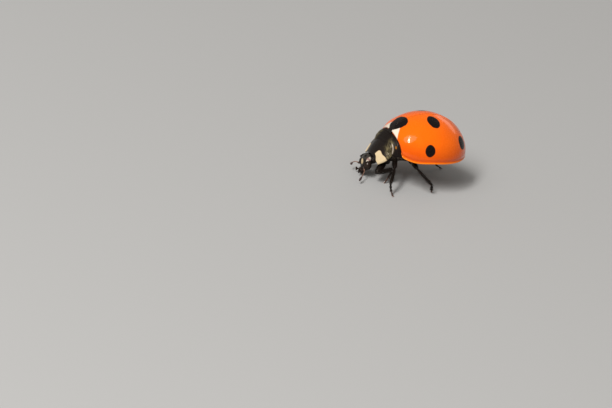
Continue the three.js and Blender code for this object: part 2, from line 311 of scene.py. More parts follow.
ORANGE = (1.0, 0.15, 0.0)
ORANGE_DEEP = (0.70, 0.075, 0.0)
RIM_GLOW_ORANGE = (1.0, 0.23, 0.005)
SPOT_BLACK = (0.006, 0.005, 0.006)
SEAM_SHADE_BROWN = (0.16, 0.03, 0.004)
CREAM = (0.80, 0.69, 0.56)
PATCH_CREAM = (0.66, 0.53, 0.335)
PATCH_BORDER = (0.10, 0.035, 0.012)
CREAM_DEEP = (0.62, 0.475, 0.275)
BLACK = (0.0045, 0.0036, 0.0032)
BLACK_WARM = (0.015, 0.0105, 0.0085)
BROWN_BLACK = (0.0085, 0.0052, 0.004)
FACE_BROWN = (0.014, 0.008, 0.005)
MOUTH_BROWN = (0.028, 0.012, 0.007)
FOOT_BROWN = (0.17, 0.085, 0.06)
OLIVE_REFLECTION = (0.19, 0.155, 0.075)
VERTEX_SHEEN_GREY = (0.040, 0.035, 0.030)
WHITISH = (0.62, 0.52, 0.46)
NECK_ORANGE = (0.30, 0.11, 0.01)
PINKISH = (0.24, 0.135, 0.12)
PALE_MARK = (0.52, 0.45, 0.36)
WARM_SHEEN = (1.0, 0.82, 0.7)
ORANGE_SHEEN = (1.0, 0.5, 0.12)


def as_node(operation):
    """A sum of a field and another field or number, which a math node works out."""
    return lambda a, b: a.finish.math(operation, a, b)


class Field:
    """A node's output, so that sums of it can be written as sums."""

    __add__ = as_node("ADD")
    __sub__ = as_node("SUBTRACT")
    __mul__ = as_node("MULTIPLY")
    __truediv__ = as_node("DIVIDE")
    __pow__ = as_node("POWER")

    def __init__(self, finish, socket):
        self.finish = finish
        self.socket = socket

    def __abs__(self):
        return self.finish.math("ABSOLUTE", self)

    def step(self, low, high):
        """0 at `low`, 1 at `high`, smooth between them and level beyond."""
        return self.finish.node("ShaderNodeMapRange", self, low, high, interpolation_type="SMOOTHSTEP")


class Finish:
    """One material: its node tree, and short calls that make nodes and return their outputs."""

    def __init__(self, name, **looks):
        self.material = bpy.data.materials.new(name)
        self.material.use_nodes = True
        self.tree = self.material.node_tree
        self.tree.nodes.clear()
        output = self.tree.nodes.new("ShaderNodeOutputMaterial")
        self.shader = self.tree.nodes.new("ShaderNodeBsdfPrincipled")
        self.tree.links.new(self.shader.outputs[0], output.inputs["Surface"])
        self.use(**looks)

    def use(self, **looks):
        """Sets the shader's own inputs, named with _ for each space."""
        for title, value in looks.items():
            self.set(self.shader.inputs[title.replace("_", " ")], value)

    def set(self, socket, value):
        if isinstance(value, Field):
            self.tree.links.new(value.socket, socket)
        else:
            socket.default_value = (*value, 1.0) if socket.type == "RGBA" else value

    def node(self, kind, *values, output=0, **settings):
        """Makes a node and fills its inputs in order; None leaves one as it is."""
        made = self.tree.nodes.new(kind)
        for key, value in settings.items():
            setattr(made, key, value)
        for socket, value in zip(made.inputs, values):
            if value is not None:
                self.set(socket, value)
        return Field(self, made.outputs[output])

    def math(self, operation, *values):
        return self.node("ShaderNodeMath", *values, operation=operation)

    def vector(self, operation, a, b=(0.0, 0.0, 0.0)):
        output = "Value" if operation in ("DOT_PRODUCT", "LENGTH") else "Vector"
        return self.node("ShaderNodeVectorMath", a, b, output=output, operation=operation)

    def mix(self, factor, a, b):
        return self.node("ShaderNodeMix", factor, *[None] * 5, a, b, output=2, data_type="RGBA")

    def noise(self, scale, detail, roughness=0.5, stretch=None):
        point = self.vector("MULTIPLY", self.point, stretch) if stretch else self.point
        return self.node("ShaderNodeTexNoise", point, None, scale, detail, roughness)

    def cells(self, scale):
        return self.node("ShaderNodeTexVoronoi", self.point, None, scale)

    def attribute(self, name):
        return self.node("ShaderNodeAttribute", output="Fac", attribute_name=name)

    def bump(self, height, depth):
        """Depth in mm of a height from 0 to 1."""
        self.use(Normal=self.node("ShaderNodeBump", 1.0, depth * MM, None, height))

    def split(self, point):
        parts = self.node("ShaderNodeSeparateXYZ", point).socket.node
        return [Field(self, socket) for socket in parts.outputs]

    def join(self, x, y, z):
        return self.node("ShaderNodeCombineXYZ", x, y, z)

    def gap(self, point, middle, scale):
        """How far the point is from `middle`, once each direction is scaled."""
        offset = self.vector("MULTIPLY", self.vector("SUBTRACT", point, middle), scale)
        return self.vector("LENGTH", offset)

    @cached_property
    def point(self):
        """Where patterns are worked out: in the beetle's own frame, in mm."""
        in_row = self.node("ShaderNodeTexCoord", output="Object")
        offset = self.vector("SUBTRACT", in_row, ORIGIN)
        x, y, z = self.split(self.vector("MULTIPLY", offset, (1 / MM,) * 3))
        return self.join(y * -1.0, x, z)

    def head_point(self):
        """The point as it would be on a head that looks straight ahead."""
        offset = self.vector("SUBTRACT", self.point, NECK_POINT + HEAD_SHIFT)
        parts = [self.vector("DOT_PRODUCT", offset, axis) for axis in HEAD_TURN.T]
        return self.vector("ADD", self.join(*parts), NECK_POINT)


def plain_finish(name, one, two, blur, grain=None, **looks):
    """A finish that wanders between two colours, with a fine grain of the given depth."""
    f = Finish(name, **looks)
    f.use(Base_Color=f.mix(f.noise(*blur), one, two))
    if grain:
        scale, detail, depth = grain
        f.bump(f.noise(scale, detail), depth)
    return f


def shell_skin(f, roughness):
    """Dark chitin: fine pits and a faint grain over slow waves."""
    pits = f.cells(17.0).step(0.0, 0.3)
    f.bump(f.noise(3.0, 2.0) * 1.2 + f.noise(60.0, 3.0) * 0.25 + pits, 0.006)
    f.use(Roughness=f.noise(7.0, 4.0) * 0.22 + roughness)


# ---- Wing cases ----

# Each spot of one wing case: its middle, its half length across and along the body, and
# how many degrees its long way leans back.
SPOTS = [
    ((-2.53, 0.90), 0.57, 0.42, 9),
    ((-1.98, 2.41), 0.41, 0.33, 0),
    ((-4.69, 1.45), 0.47, 0.44, 20),
]
SHARED_SPOT_X = -0.52
SHARED_SPOT_HALF_LENGTH = 0.50
SHARED_SPOT_HALF_WIDTH = 0.38       # level with the scutellum's tip
SHARED_SPOT_WIDENING = 0.32         # for each mm further back
RIGHT_SPOT_SHIFT = 0.32     # the right wing case carries its inner spot this much further out
RIGHT_SPOT_GROWTH = 0.16    # and its half of the shared spot is this much wider
RIGHT_CREAM_GROWTH = 0.15   # as is its cream mark

STATIONS, ARCS = 150, 84    # rows from the front edge to the tip, columns from seam to rim
TIP_ANGLE = math.pi - 0.012     # the rows stop just short of the tip
SEAM_GAP = 0.008            # half the gap between the wing cases
CASE_THICKNESS = 0.1
RIM_DIP = 0.19              # how far the rim sinks behind the shoulder
RIM_DIP_X = -1.15
SHOULDER = (-0.75, 1.5, 0.95)
SHOULDER_REACH = 0.45
BEAD = 0.035                # radius of the round that the rim turns under in
UNDER_WIDTH = 0.30          # width of the edge beneath
FAR = 9.0                   # a distance that no mark reaches


def dome_height(x, y):
    reach = np.where(x > TOP_X, FRONT_REACH, REAR_REACH)
    taken = np.abs((x - TOP_X) / reach) ** OUTLINE_POWER
    room = 1 - taken - np.abs(y / ELYTRA_HALF_WIDTH) ** OUTLINE_POWER
    return ELYTRA_HEIGHT * np.maximum(room, 0) ** (1 / PROFILE_POWER)


def dome_normal(x, y):
    step = 0.01
    slope_x = (dome_height(x + step, y) - dome_height(x - step, y)) / (2 * step)
    slope_y = (dome_height(x, y + step) - dome_height(x, y - step)) / (2 * step)
    return unit(np.array([-slope_x, -slope_y, 1.0]))


def spot_distance(f, point, spot):
    """1 on the edge of a spot, measured along the shell: 0 at its middle."""
    (x, y), half_across, half_along, lean = spot
    out = dome_normal(x, y)
    along = unit(np.array([1.0, 0, 0]) - out[0] * out)
    across = np.cross(out, along)
    c, s = math.cos(math.radians(lean)), math.sin(math.radians(lean))
    offset = f.vector("SUBTRACT", point, (x, y, float(dome_height(x, y))))
    a = f.vector("DOT_PRODUCT", offset, (c * across - s * along) / half_across)
    b = f.vector("DOT_PRODUCT", offset, (c * along + s * across) / half_along)
    return f.math("SQRT", a * a + b * b)


def wing_case_finish():
    f = Finish("wing_case", Coat_Roughness=0.045, Specular_IOR_Level=0.2,
               Specular_Tint=ORANGE_SHEEN)
    x, y, z = f.split(f.point)
    side = abs(y)
    on_right = f.math("LESS_THAN", y, 0.0)
    wobble = (f.noise(2.6, 3.0) - 0.5) * 0.26

    # Orange, deepened low down by painted shade and in random clouds of its own tone, with a painted
    # glow of light through the thin rim.
    clouds = f.noise(1.1, 4.0, 0.6)
    # The deeper orange low on the dome is painted shade; the clouds are the shell's own uneven tone.
    colour = f.mix(z.step(1.3, 0.0) * 0.7 + (clouds - 0.35) * 0.5, ORANGE, ORANGE_DEEP)
    # The rim is painted paler, as a glow of light shining through its thin edge.
    colour = f.mix(f.attribute("rim").step(0.35, 1.0), colour, RIM_GLOW_ORANGE)

    # Cream mark: a triangle on the front edge, beside the scutellum.
    tent = f.math("MINIMUM", side * 1.15 + 0.05, side * -1.15 + 1.17)
    tent = tent + on_right * RIGHT_CREAM_GROWTH
    cream = (f.attribute("front_run") + wobble * 0.3 - tent).step(0.04, -0.04)
    colour = f.mix(cream, colour, CREAM)

    # Black spots, and the one that both wing cases share behind the scutellum.
    shared_along = abs(x - SHARED_SPOT_X) / SHARED_SPOT_HALF_LENGTH
    half_width = on_right * RIGHT_SPOT_GROWTH + SHARED_SPOT_HALF_WIDTH
    shared_across = side / (x * -SHARED_SPOT_WIDENING + half_width)
    nearest = (shared_along**2.6 + shared_across**2.2) ** 0.43
    mirrored = f.join(x, side, z)
    shifted = f.join(x, side - on_right * RIGHT_SPOT_SHIFT, z)
    for spot, where in zip(SPOTS, (shifted, mirrored, mirrored)):
        nearest = f.math("MINIMUM", nearest, spot_distance(f, where, spot))
    black = (nearest + wobble).step(1.05, 0.95)
    colour = f.mix(black, colour, SPOT_BLACK)

    # The seam between the wing cases is a thin line of painted shade in the gap, which the spots hide.
    colour = f.mix(side.step(0.024, 0.01) * (black * -0.6 + 0.6), colour, SEAM_SHADE_BROWN)

    pits = f.cells(15.0).step(0.0, 0.34)
    f.bump(f.noise(42.0, 3.0) * 0.10 + f.noise(2.2, 2.0) * 1.6 + pits, 0.0035)
    f.use(Base_Color=colour, Coat_Weight=black * -0.5 + 0.62,
          Roughness=f.noise(9.0, 3.0) * 0.14 + 0.2)
    return f


def distance_along(sheet, axis):
    """How far along the surface each point lies from the first row or column."""
    steps = np.linalg.norm(np.diff(sheet, axis=axis), axis=-1)
    start = [(1, 0), (0, 0)] if axis == 0 else [(0, 0), (1, 0)]
    return np.pad(np.cumsum(steps, axis=axis), start)


def case_sheet(t):
    """The dome's quarter as rows of points from seam to rim, its normals, and each row's width."""
    k = np.linspace(0, 1, ARCS)[None, :]
    phi = math.pi / 2 * (k - 0.7 * np.sin(2 * math.pi * k) / (2 * math.pi))

    # The front edge sweeps back from the scutellum and rounds off at the shoulder.
    alpha = np.full(phi.shape, 0.5)
    for _ in range(12):
        y = ELYTRA_HALF_WIDTH * (np.sin(alpha) * np.sin(phi)) ** (2 / OUTLINE_POWER)
        edge = -BASE_SWEEP * y**2 - 0.03 * smooth(phi, 1.2, math.pi / 2) ** 2
        alpha = np.arccos(((edge - TOP_X) / FRONT_REACH) ** (OUTLINE_POWER / 2))
    alpha = lerp(alpha, TIP_ANGLE, t)
    reach = np.where(np.cos(alpha) > 0, FRONT_REACH, REAR_REACH)
    x = TOP_X + reach * power(np.cos(alpha), 2 / OUTLINE_POWER)
    slim = np.sin(alpha) ** (2 / OUTLINE_POWER)
    y = ELYTRA_HALF_WIDTH * slim * np.sin(phi) ** (2 / OUTLINE_POWER)
    z = ELYTRA_HEIGHT * np.sin(alpha) ** (2 / PROFILE_POWER)
    z = z * np.cos(phi).clip(0) ** (2 / PROFILE_POWER)
    dip = RIM_DIP * bell(x, RIM_DIP_X, 0.95) * (1 - z / ELYTRA_HEIGHT) ** 4
    sheet = np.stack([x, y, z - dip * smooth(-x, 0.25, 0.6)], axis=-1)
    normal = unit(np.cross(np.gradient(sheet, axis=1), np.gradient(sheet, axis=0)))
    normal[:, 0] = unit(normal[:, 0] * [1, 0, 1])
    normal[:, -1] = unit(normal[:, -1] * [1, 1, 0])
    return sheet, normal, slim


def wing_case(side, name, finish):
    """One wing case: outer shell, rim, turned-under edge and inner face, as closed loops."""
    t = np.linspace(0, 1, STATIONS)[:, None] ** 1.3
    sheet, normal, slim = case_sheet(t)
    from_front = distance_along(sheet, 0)
    from_seam = distance_along(sheet, 1)
    from_rim = from_seam[:, -1:] - from_seam
    thick = np.minimum(CASE_THICKNESS, 0.45 * ELYTRA_HALF_WIDTH * slim)

    # The shoulder is humped, the seam and the rim are raised, and the edges are rounded.
    gap = np.sum((sheet - SHOULDER) ** 2, axis=-1)
    swell = 0.055 * np.exp(-gap / SHOULDER_REACH**2)
    swell += 0.014 * bell(from_seam, 0.1, 0.06) * smooth(from_front, 0, 0.8)
    swell -= 0.028 * bell(from_rim, 0.14, 0.075)
    swell += 0.02 * bell(from_rim, 0.0, 0.06)
    for distance, radius in ((from_front, 0.085), (from_seam, 0.03)):
        swell -= radius - quarter_round(distance, radius)
    swell *= np.minimum(1, slim / 0.15)
    shell = sheet + normal * swell[..., None]
    shell[:, 0, 1] = SEAM_GAP
    inner = sheet - normal * thick[..., None]
    for surface in (shell, inner):
        surface[..., 1] = np.maximum(surface[..., 1], SEAM_GAP)
    inner[0] = shell[0]

    # The rim turns under in a small round, and on into the flat edge beneath.
    edge = shell[:, -1]
    out = unit(normal[:, -1] * [1, 1, 0])
    bead = np.minimum(BEAD, 0.3 * thick[:, -1])[:, None]
    under = UNDER_WIDTH * smooth(t, 0, 0.12) * (1 - 0.75 * smooth(t, 0.45, 1))
    under = under * np.minimum(1, slim[:, -1:] / 0.3)
    turned = []
    for angle in np.radians([25, 60, 95, 130]):
        turned.append(edge - out * bead * (1 - math.cos(angle)) - UP * bead * math.sin(angle))
    for share in (0.35, 0.7, 1.0):
        turned.append(edge - out * (bead * 1.7 + under * share) + UP * (under * share * 0.3))
    turned = np.stack(turned, axis=1)
    turned[0] = shell[0, -1]
    loops = np.concatenate([shell, turned, inner[:, -7::-1]], axis=1)
    loops[..., 1] = np.maximum(loops[..., 1], SEAM_GAP) * side

    rim = np.full(loops.shape[:2], 0.7)
    rim[:, :ARCS] = bell(from_rim, 0, 0.10)
    front = np.full(loops.shape[:2], FAR)
    front[:, :ARCS] = from_front
    shape = Shape().grid(loops, around=True, caps=True)
    build(f"wing_case_{name}", shape, finish, "wing_case", [f"elytron_{name}"], weld=1e-4,
          rim=np.r_[rim.ravel(), 0.0, 0.0], front_run=np.r_[front.ravel(), FAR, FAR])


# ---- Scutellum and pronotum ----

ALONG = np.array([math.cos(PRONOTUM_TILT), 0.0, -math.sin(PRONOTUM_TILT)])
OUTWARD = np.array([math.sin(PRONOTUM_TILT), 0.0, math.cos(PRONOTUM_TILT)])
PRONOTUM_EDGE = 0.05        # radius of its rounded edge
SCUTELLUM_LENGTH = 0.44
SCUTELLUM_HALF_WIDTH = 0.25


def plate(name, top, under, finish, **attributes):
    """A closed plate between two sheets that have the same edge."""
    loops = np.concatenate([top, under[:, ::-1]], axis=1)
    both = {title: np.hstack([v, v[:, ::-1]]).ravel() for title, v in attributes.items()}
    shape = Shape().grid(loops, around=True)
    build(name, shape, finish, "black_shell", [name], weld=1e-4, **both)


def scutellum(finish):
    """The small plate between the bases of the wing cases."""
    across = np.linspace(-1, 1, 33)[:, None]
    back = np.linspace(0, 1, 25)[None, :]
    x = 0.07 - SCUTELLUM_LENGTH * back + 0 * across
    y = across * SCUTELLUM_HALF_WIDTH * (1 - back) ** 0.85 * (1 + 0.25 * np.sin(math.pi * back))
    edge = np.minimum((1 - np.abs(across)) * 0.25, np.minimum(back, 1 - back) * 0.4)
    rise = 0.03 * smooth(edge, 0, 0.035) + 0.012 * bell(edge, 0.1, 0.08)
    level = dome_height(x, y) - 0.012
    top = np.stack([x, y, level + rise], axis=-1)
    under = np.stack([x, y, level - 3 * rise], axis=-1)
    plate("scutellum", top, under, finish)


def on_pronotum(s, y, h):
    """s runs from the hind edge toward the head, h outward."""
    s, y, h = (np.asarray(v, float)[..., None] for v in (s, y, h))
    return PRONOTUM_BACK + s * ALONG + y * SIDEWAYS + h * OUTWARD


def pronotum(finish):
    """The shield over the neck: a domed disc with a beaded rim, and a hollow underside."""
    across = np.sin(np.linspace(-math.pi / 2, math.pi / 2, 161))[:, None]
    ahead = (0.5 - 0.5 * np.cos(math.pi * np.linspace(0, 1, 91)))[None, :]
    half_width = lerp(PRONOTUM_HALF_WIDTH, PRONOTUM_FRONT_HALF_WIDTH, ahead)
    y = across * (half_width + 0.12 * np.sin(math.pi * ahead))
    s = lerp(0.59 * np.abs(across) ** 2.2, PRONOTUM_LENGTH + 0.2 * across**2, ahead)
    h = 0.13 * (1 - ((s - 0.75) / 0.85) ** 2) - 0.5 * (np.abs(y) / PRONOTUM_HALF_WIDTH) ** 1.95
    swell = 0.02 * bell(y, 0, 0.8) * bell(s, 0.5, 0.4)
    swell -= 0.012 * bell(np.abs(y), 0.75, 0.16) * bell(s, 0.95, 0.3)

    from_side = (1 - np.abs(across)) * 1.3 + 0 * ahead
    from_hind = ahead * 1.25 + 0 * across
    edge = np.minimum(from_side, np.minimum(from_hind, 1.25 - from_hind))
    rounded = quarter_round(edge, PRONOTUM_EDGE)
    bead = 0.022 * (bell(from_side, 0.06, 0.035) - bell(from_side, 0.16, 0.06))
    bead += 0.010 * bell(from_hind, 0.05, 0.03) - 0.008 * bell(from_hind, 0.11, 0.04)
    top = on_pronotum(s, y, h - PRONOTUM_EDGE + rounded + bead * smooth(edge, 0, 0.03) + swell)
    under = on_pronotum(s, y, h - PRONOTUM_EDGE - rounded - 0.2 * smooth(edge, 0.1, 0.5))
    plate("pronotum", top, under, finish,
          across=np.abs(across) + 0 * ahead, ahead=ahead + 0 * across)


def shield_finish():
    """Black, with painted olive streaks of reflection behind, and a cream patch in each front corner.
    """
    f = Finish("pronotum", Coat_Weight=0.2, Coat_Roughness=0.18, Specular_IOR_Level=0.2,
               Specular_Tint=WARM_SHEEN)
    on_right = f.math("LESS_THAN", f.split(f.point)[1], 0.0)
    across, ahead = f.attribute("across"), f.attribute("ahead")
    colour = f.mix(f.noise(4.0, 4.0, 0.6), BLACK, BLACK_WARM)

    # The painted olive reflection is streaked, widest low on each side, and fainter on the right.
    streaks = f.noise(2.6, 3.0, stretch=(7.0, 1.6, 2.2)).step(0.42, 0.62)
    reach = across.step(0.45, 0.75) * 0.24 + 0.20
    reflection_zone = across.step(0.1, 0.35) * (ahead - reach).step(0.0, -0.14) * (on_right * -0.7 + 1.0)
    colour = f.mix(reflection_zone * (streaks * 0.75 + 0.25), colour, OLIVE_REFLECTION)

    # Each patch has a notch in its hind edge and a hair-thin brown border.
    wander = (f.noise(5.0, 3.0) - 0.5) * 0.2
    inner = across * 1.3 + on_right * -0.36 - 0.49
    notch = across.step(0.45, 0.68) * across.step(0.96, 0.70) * 0.075
    hind = ahead * 1.25 + across * 0.30 - 0.80 - notch
    front = ahead * -1.25 + 1.225 - across.step(0.82, 0.48) * 0.16
    inside = inner.step(-0.10, 0.22) * hind.step(-0.10, 0.22) * front.step(-0.02, 0.03)
    patch = (inside + wander) * 4.0
    colour = f.mix(patch.step(0.55, 1.0), colour, PATCH_BORDER)
    cream = f.mix(f.noise(6.0, 3.0), PATCH_CREAM, CREAM_DEEP)
    f.use(Base_Color=f.mix(patch.step(0.85, 1.25), colour, cream))
    shell_skin(f, 0.26)
    return f


# ---- Trunk ----

# Across each row: place along the body, half width, top and bottom.
THORAX_ROWS = np.array([
    (0.56, 0.55, -0.02, -0.36), (0.46, 0.86, 0.30, -0.52), (0.32, 1.12, 0.60, -0.68),
    (0.14, 1.31, 0.84, -0.80), (-0.05, 1.42, 0.97, -0.84), (-0.22, 1.47, 1.00, -0.84),
    (-0.45, 1.50, 0.98, -0.80), (-0.75, 1.72, 0.98, -0.70), (-1.1, 1.96, 1.0, -0.62),
    (-1.6, 2.16, 1.0, -0.58), (-2.04, 2.26, 1.0, -0.57),
])
ABDOMEN_ROWS = np.array([
    (-2.0, 2.24, 1.0, -0.57), (-2.6, 2.27, 1.0, -0.56), (-3.2, 2.20, 0.95, -0.53),
    (-3.8, 2.02, 0.85, -0.47), (-4.3, 1.77, 0.7, -0.40), (-4.8, 1.38, 0.5, -0.30),
    (-5.15, 0.98, 0.3, -0.20), (-5.3, 0.62, 0.2, -0.12), (-5.36, 0.3, 0.1, -0.06),
])
# Where each plate of the abdomen's underside ends, from the first one's front.
PLATE_ENDS = (-1.9, -2.62, -3.22, -3.74, -4.22, -4.66, -5.04)


def trunk_loops(rows, stations, arcs=150):
    """Closed cross-sections, smooth along the body."""
    ends = rows[:, 0]
    x = np.linspace(ends[0], ends[-1], stations)

    def smoothed(column):
        values = np.interp(x, ends[::-1], rows[::-1, column])
        return np.convolve(np.pad(values, 4, mode="edge"), np.ones(9) / 9, mode="valid")[:, None]

    width, top, bottom = (smoothed(column) for column in (1, 2, 3))
    angle = turns(arcs)[None, :]
    c, s = np.cos(angle), np.sin(angle)
    level = 0.5 * (top + bottom) * 0.25
    y = width * power(c, 0.86)
    z = level + np.where(s > 0, top - level, level - bottom) * power(s, 0.9)
    return np.stack([x[:, None] + 0 * y, y, z], axis=-1)


def outward_of(loops):
    along = np.gradient(loops, axis=0)
    around = (np.roll(loops, -1, axis=1) - np.roll(loops, 1, axis=1)) / 2
    normal = unit(np.cross(along, around))
    middle = loops.mean(axis=1, keepdims=True)
    return normal * np.sign(np.sum(normal * (loops - middle), axis=-1, keepdims=True).mean())


def trunk_piece(name, loops, normal, push, finish):
    """Builds the loops with their points pushed outward. Returns the skin and its normals."""
    skin = loops + normal * push[..., None]
    shape = Shape().grid(skin, around=True, caps=True)
    build(name, shape, finish, "black_body", [name])
    return skin, normal


def thorax(finish):
    loops = trunk_loops(THORAX_ROWS, 130)
    normal = outward_of(loops)
    x, y, z = np.moveaxis(loops, -1, 0)
    side = np.abs(y)
    upper = smooth(z, -0.35, 0.0)
    lower = 1 - upper

    # The neck is finely wrinkled.
    folds = np.sin((x + 0.06 * y**2) * 58 + 1.6 * np.sin(3.1 * y) + 0.8 * np.sin(7.3 * z))
    push = 0.012 * folds * upper * smooth(x, -0.35, -0.15)

    # The underside has a cross groove, a groove along each side and the middle, and a boss.
    push -= 0.030 * lower * bell(x + 0.04 * side, -0.98, 0.035)
    push -= 0.026 * lower * bell(side - 0.25 * (x + 1), 1.62, 0.03) * smooth(-x, 0.5, 0.8)
    push -= 0.022 * lower * bell(y, 0, 0.03) * smooth(-x, 1.05, 1.3)
    push += 0.045 * lower * np.exp(-((x + 0.32) ** 2 + y**2) / 0.16**2)

    # Each hip sits in a hollow with a raised edge.
    for hand in (LEFT, RIGHT):
        for hip_x, hip_y, _ in HIPS.values():
            gap = np.sqrt((x - hip_x) ** 2 + 0.7 * (y - hand * hip_y) ** 2)
            push += lower * (0.035 * bell(gap, 0.34, 0.05) - 0.05 * bell(gap, 0.22, 0.09))
    return trunk_piece("thorax", loops, normal, push, finish)


def abdomen(finish):
    """Each plate of the underside rises toward its end, over the next one's front."""
    loops = trunk_loops(ABDOMEN_ROWS, 230)
    normal = outward_of(loops)
    x, y, z = np.moveaxis(loops, -1, 0)
    curved = x + 0.05 * y**2
    push = np.zeros_like(x)
    for start, end in zip(PLATE_ENDS, PLATE_ENDS[1:]):
        share = np.clip((start - curved) / (start - end), 0, 1)
        inside = (curved < start) & (curved >= end)
        push += inside * (0.05 * share**1.6 - 0.012 * bell(share, 0.05, 0.06))
    half_width = 0.1 + np.abs(y).max(axis=1, keepdims=True)
    push -= 0.03 * bell(np.abs(y) / half_width, 0.80, 0.03)
    return trunk_piece("abdomen", loops, normal, push * smooth(-z, 0.02, 0.25), finish)


def prothorax(finish):
    """The front ring of the thorax under the pronotum, with a keel between the front hips."""
    centre = on_pronotum(0.82, 0, -0.62)
    axes = np.array([ALONG * 0.76, SIDEWAYS * 1.08, OUTWARD * 0.62])
    stalk_axes = np.array([ALONG * 0.44, SIDEWAYS * 0.4, OUTWARD * 0.28])

    def keel(p):
        low = smooth(-((p - centre) @ OUTWARD), 0.0, 0.3)
        along = (p - centre) @ ALONG
        ridge = 0.05 * bell(p[:, 1], 0, 0.1) * low
        crease = -0.02 * bell(np.abs(p[:, 1]) - 0.2 * along, 0.72, 0.03) * low
        return ridge + crease + 0.006 * np.sin(along * 70 + 3 * p[:, 1]) * low

    def rings(p):
        return 0.012 * np.sin((p - centre) @ ALONG * 60)

    # The short stalk that carries the head is ringed like a bellows.
    shape = Shape().ball(centre, axes, around=96, down=64, push=keel)
    shape.ball((0.62, -0.02, -0.98), stalk_axes, around=72, down=48, push=rings)
    build("prothorax", shape, finish, "black_body", ["prothorax"])


def body_finish():
    f = Finish("black_body", Coat_Weight=0.08, Coat_Roughness=0.25, Specular_IOR_Level=0.2,
               Specular_Tint=WARM_SHEEN)
    x, y, z = f.split(f.point)
    side = abs(y)
    colour = f.mix(f.noise(5.0, 4.0, 0.6), BLACK, BROWN_BLACK)

    # In front of the wing cases the neck has painted olive streaks of reflection, with a whitish line
    # and an orange dot on each side.
    streaks = f.noise(2.4, 3.0, stretch=(9.0, 1.5, 1.5))
    neck = x.step(0.0, 0.16) * z.step(-0.35, 0.1) * side.step(0.45, 1.1)
    colour = f.mix(neck * (streaks.step(0.4, 0.62) * 0.75 + 0.1), colour, OLIVE_REFLECTION)
    run = side * side * 0.05 + x
    line = run.step(0.18, 0.205) * run.step(0.25, 0.225) * z.step(-0.12, 0.0) * z.step(0.58, 0.46)
    colour = f.mix(line * (streaks * 0.8 + 0.3), colour, WHITISH)
    dot = f.gap(f.join(x, side, z), (-0.02, 1.42, 0.42), (15.0, 5.0, 8.0)).step(1.15, 0.75)
    f.use(Base_Color=f.mix(dot, colour, NECK_ORANGE))
    shell_skin(f, 0.38)
    return f


# ---- Head ----


def head(finish):
    def push(p):
        x, y, z = (p - HEAD_CENTRE).T
        front = smooth(x, 0.02, 0.26)

        # A flat face, a ledge over the mouth with a groove above it, and a crease on top.
        out = -0.03 * bell(y, 0, 0.3) * bell(z, -0.02, 0.2) * front
        out += 0.055 * bell(z, -0.40, 0.07) * smooth(0.42 - np.abs(y), 0, 0.12) * front
        groove = bell(z + 0.12 * y**2, -0.27, 0.025) * smooth(0.46 - np.abs(y), 0, 0.1)
        out -= 0.02 * groove * front
        out -= 0.010 * bell(y, 0, 0.02) * smooth(z, -0.1, 0.15) * front
        out -= 0.02 * bell(np.linalg.norm(p - VERTEX_DIMPLE, axis=1), 0, 0.09)

        # Each feeler has a ringed socket, and each eye a rim.
        for side in (LEFT, RIGHT):
            gap = np.linalg.norm(p - FEELER_SOCKET * [1, side, 1], axis=1)
            out += 0.022 * bell(gap, 0.12, 0.03) - 0.035 * bell(gap, 0.0, 0.07)
            eye = np.linalg.norm((p - EYE_CENTRE * [1, side, 1]) / EYE_RADII, axis=1)
            out += 0.022 * bell(eye, 1.12, 0.09) - 0.02 * bell(eye, 0.98, 0.05)
        return out + 0.003 * np.sin(31 * x + 9 * z) * np.sin(37 * y)

    shape = Shape().ball(HEAD_CENTRE, np.diag(HEAD_RADII), around=170, down=120, push=push)
    build("head", shape.move(on_head), finish, "black_shell", ["head"])


def head_finish():
    f = Finish("head", Coat_Weight=0.14, Coat_Roughness=0.16, Specular_IOR_Level=0.14,
               Specular_Tint=WARM_SHEEN)
    f.point = f.head_point()
    x, y, z = f.split(f.point)
    mirrored = f.join(x, abs(y), z)
    wobble = (f.noise(9.0, 3.0) - 0.5) * 0.25
    # Painted sheen: the top of the head is painted lighter.
    top_sheen = z.step(-0.98, -0.84) * (f.noise(8.0, 3.0) * 0.8 + 0.5)
    colour = f.mix(f.noise(6.0, 4.0), BLACK, FACE_BROWN)
    colour = f.mix(top_sheen, colour, VERTEX_SHEEN_GREY)

    # A lighter sheen is painted over the top, and a small dimple there is painted black, without it. A
    # pale mark follows the upper edge of each eye, broken by a pinkish bridge, and the middle of the
    # face carries a cream one.
    marks = [
        (f.point, VERTEX_DIMPLE, (9.0, 9.0, 9.0), BLACK),
        (mirrored, (1.22, 0.54, -0.84), (5.0, 8.5, 6.5), PINKISH),
        (mirrored, (1.07, 0.49, -0.755), (7.5, 8.0, 10.0), PALE_MARK),
        (mirrored, (1.30, 0.575, -0.955), (10.0, 10.0, 9.5), PALE_MARK),
        (mirrored, (1.45, 0.0, -1.14), (4.0, 4.6, 5.2), CREAM_DEEP),
    ]
    for where, middle, scale, paint in marks:
        mark = (f.gap(where, middle, scale) + wobble).step(1.1, 0.75)
        colour = f.mix(mark, colour, paint)
    f.use(Base_Color=colour)
    shell_skin(f, 0.28)
    return f


def eye(side, name, finish):
    """A compound eye: one small dome for each facet, laid out on the dual of an icosphere."""
    ball = bmesh.new()
    bmesh.ops.create_icosphere(ball, subdivisions=5, radius=1.0)
    corners = np.array([tuple(v.co) for v in ball.verts])
    centres = unit(np.array([tuple(face.calc_center_median()) for face in ball.faces]))
    fans = []
    for edge in ball.edges:
        left, right = (face.index + len(corners) for face in edge.link_faces)
        a, b = (v.index for v in edge.verts)
        fans += [[a, left, right], [b, left, right]]
    ball.free()
    points = np.vstack([corners, centres * 0.965])
    shape = Shape().add(EYE_CENTRE * [1, side, 1] + points * EYE_RADII, fans).move(on_head)
    build(f"eye_{name}", shape, finish, "eye", [f"eye_{name}"])


